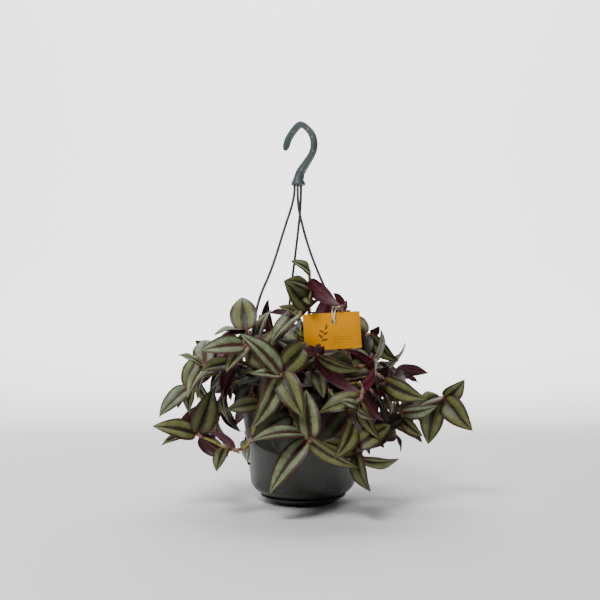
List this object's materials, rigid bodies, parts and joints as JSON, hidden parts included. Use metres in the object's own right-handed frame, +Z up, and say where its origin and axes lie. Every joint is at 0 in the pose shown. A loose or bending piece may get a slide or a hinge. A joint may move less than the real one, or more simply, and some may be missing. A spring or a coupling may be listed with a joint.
{
  "type": "potted tradescantia in a hanging pot",
  "caption": "Striped trailing tradescantia in a round dark plastic hanging pot, with clip-on rods, a plastic hook and a card tag on a loop of string.",
  "frame": {"origin": "middle of the saucer's underside, on the pot's axis", "axes": "+Z up along the pot's axis, +X to the right and +Y away from the side that shows the card tag"},
  "size_m": [0.3405, 0.2863, 0.4335],
  "materials": {
    "pot_plastic": "satin",
    "hook_plastic": "satin",
    "rod_plastic": "satin",
    "card": "matte",
    "string": "matte",
    "soil": "matte",
    "leaf": "satin"
  },
  "bodies": {
    "root": {"saucer": "pot_plastic", "pot": "pot_plastic", "soil": "soil", "hook": "hook_plastic", "rod_left": "rod_plastic", "rod_middle": "rod_plastic", "rod_right": "rod_plastic", "tag_card": "card", "tag_loop": "string", "stem_crown_1": "leaf", "stem_crown_2": "leaf", "stem_crown_3": "leaf", "stem_crown_4": "leaf", "stem_front_centre": "leaf", "stem_front_low": "leaf", "stem_front_right": "leaf", "stem_front_right_low": "leaf", "stem_inner_1": "leaf", "stem_inner_2": "leaf", "stem_left": "leaf", "stem_left_high": "leaf", "stem_left_inner": "leaf", "stem_left_low": "leaf", "stem_left_middle": "leaf", "stem_right": "leaf", "stem_right_high": "leaf", "stem_right_low": "leaf", "stem_right_sprig": "leaf", "stem_side_1": "leaf", "stem_side_2": "leaf", "stem_side_3": "leaf", "stem_side_4": "leaf", "stem_side_5": "leaf", "stem_side_6": "leaf", "stem_side_7": "leaf", "stem_skirt_1": "leaf", "stem_skirt_2": "leaf", "stem_skirt_3": "leaf", "stem_skirt_4": "leaf", "stem_skirt_5": "leaf", "stem_top": "leaf", "stem_top_front": "leaf", "stem_top_right": "leaf", "stem_trailing_1": "leaf", "stem_trailing_2": "leaf", "stem_trailing_3": "leaf", "stem_trailing_4": "leaf", "stem_trailing_5": "leaf", "stem_trailing_6": "leaf", "stem_upper_left": "leaf", "stem_young": "leaf"}
  },
  "joints": []
}
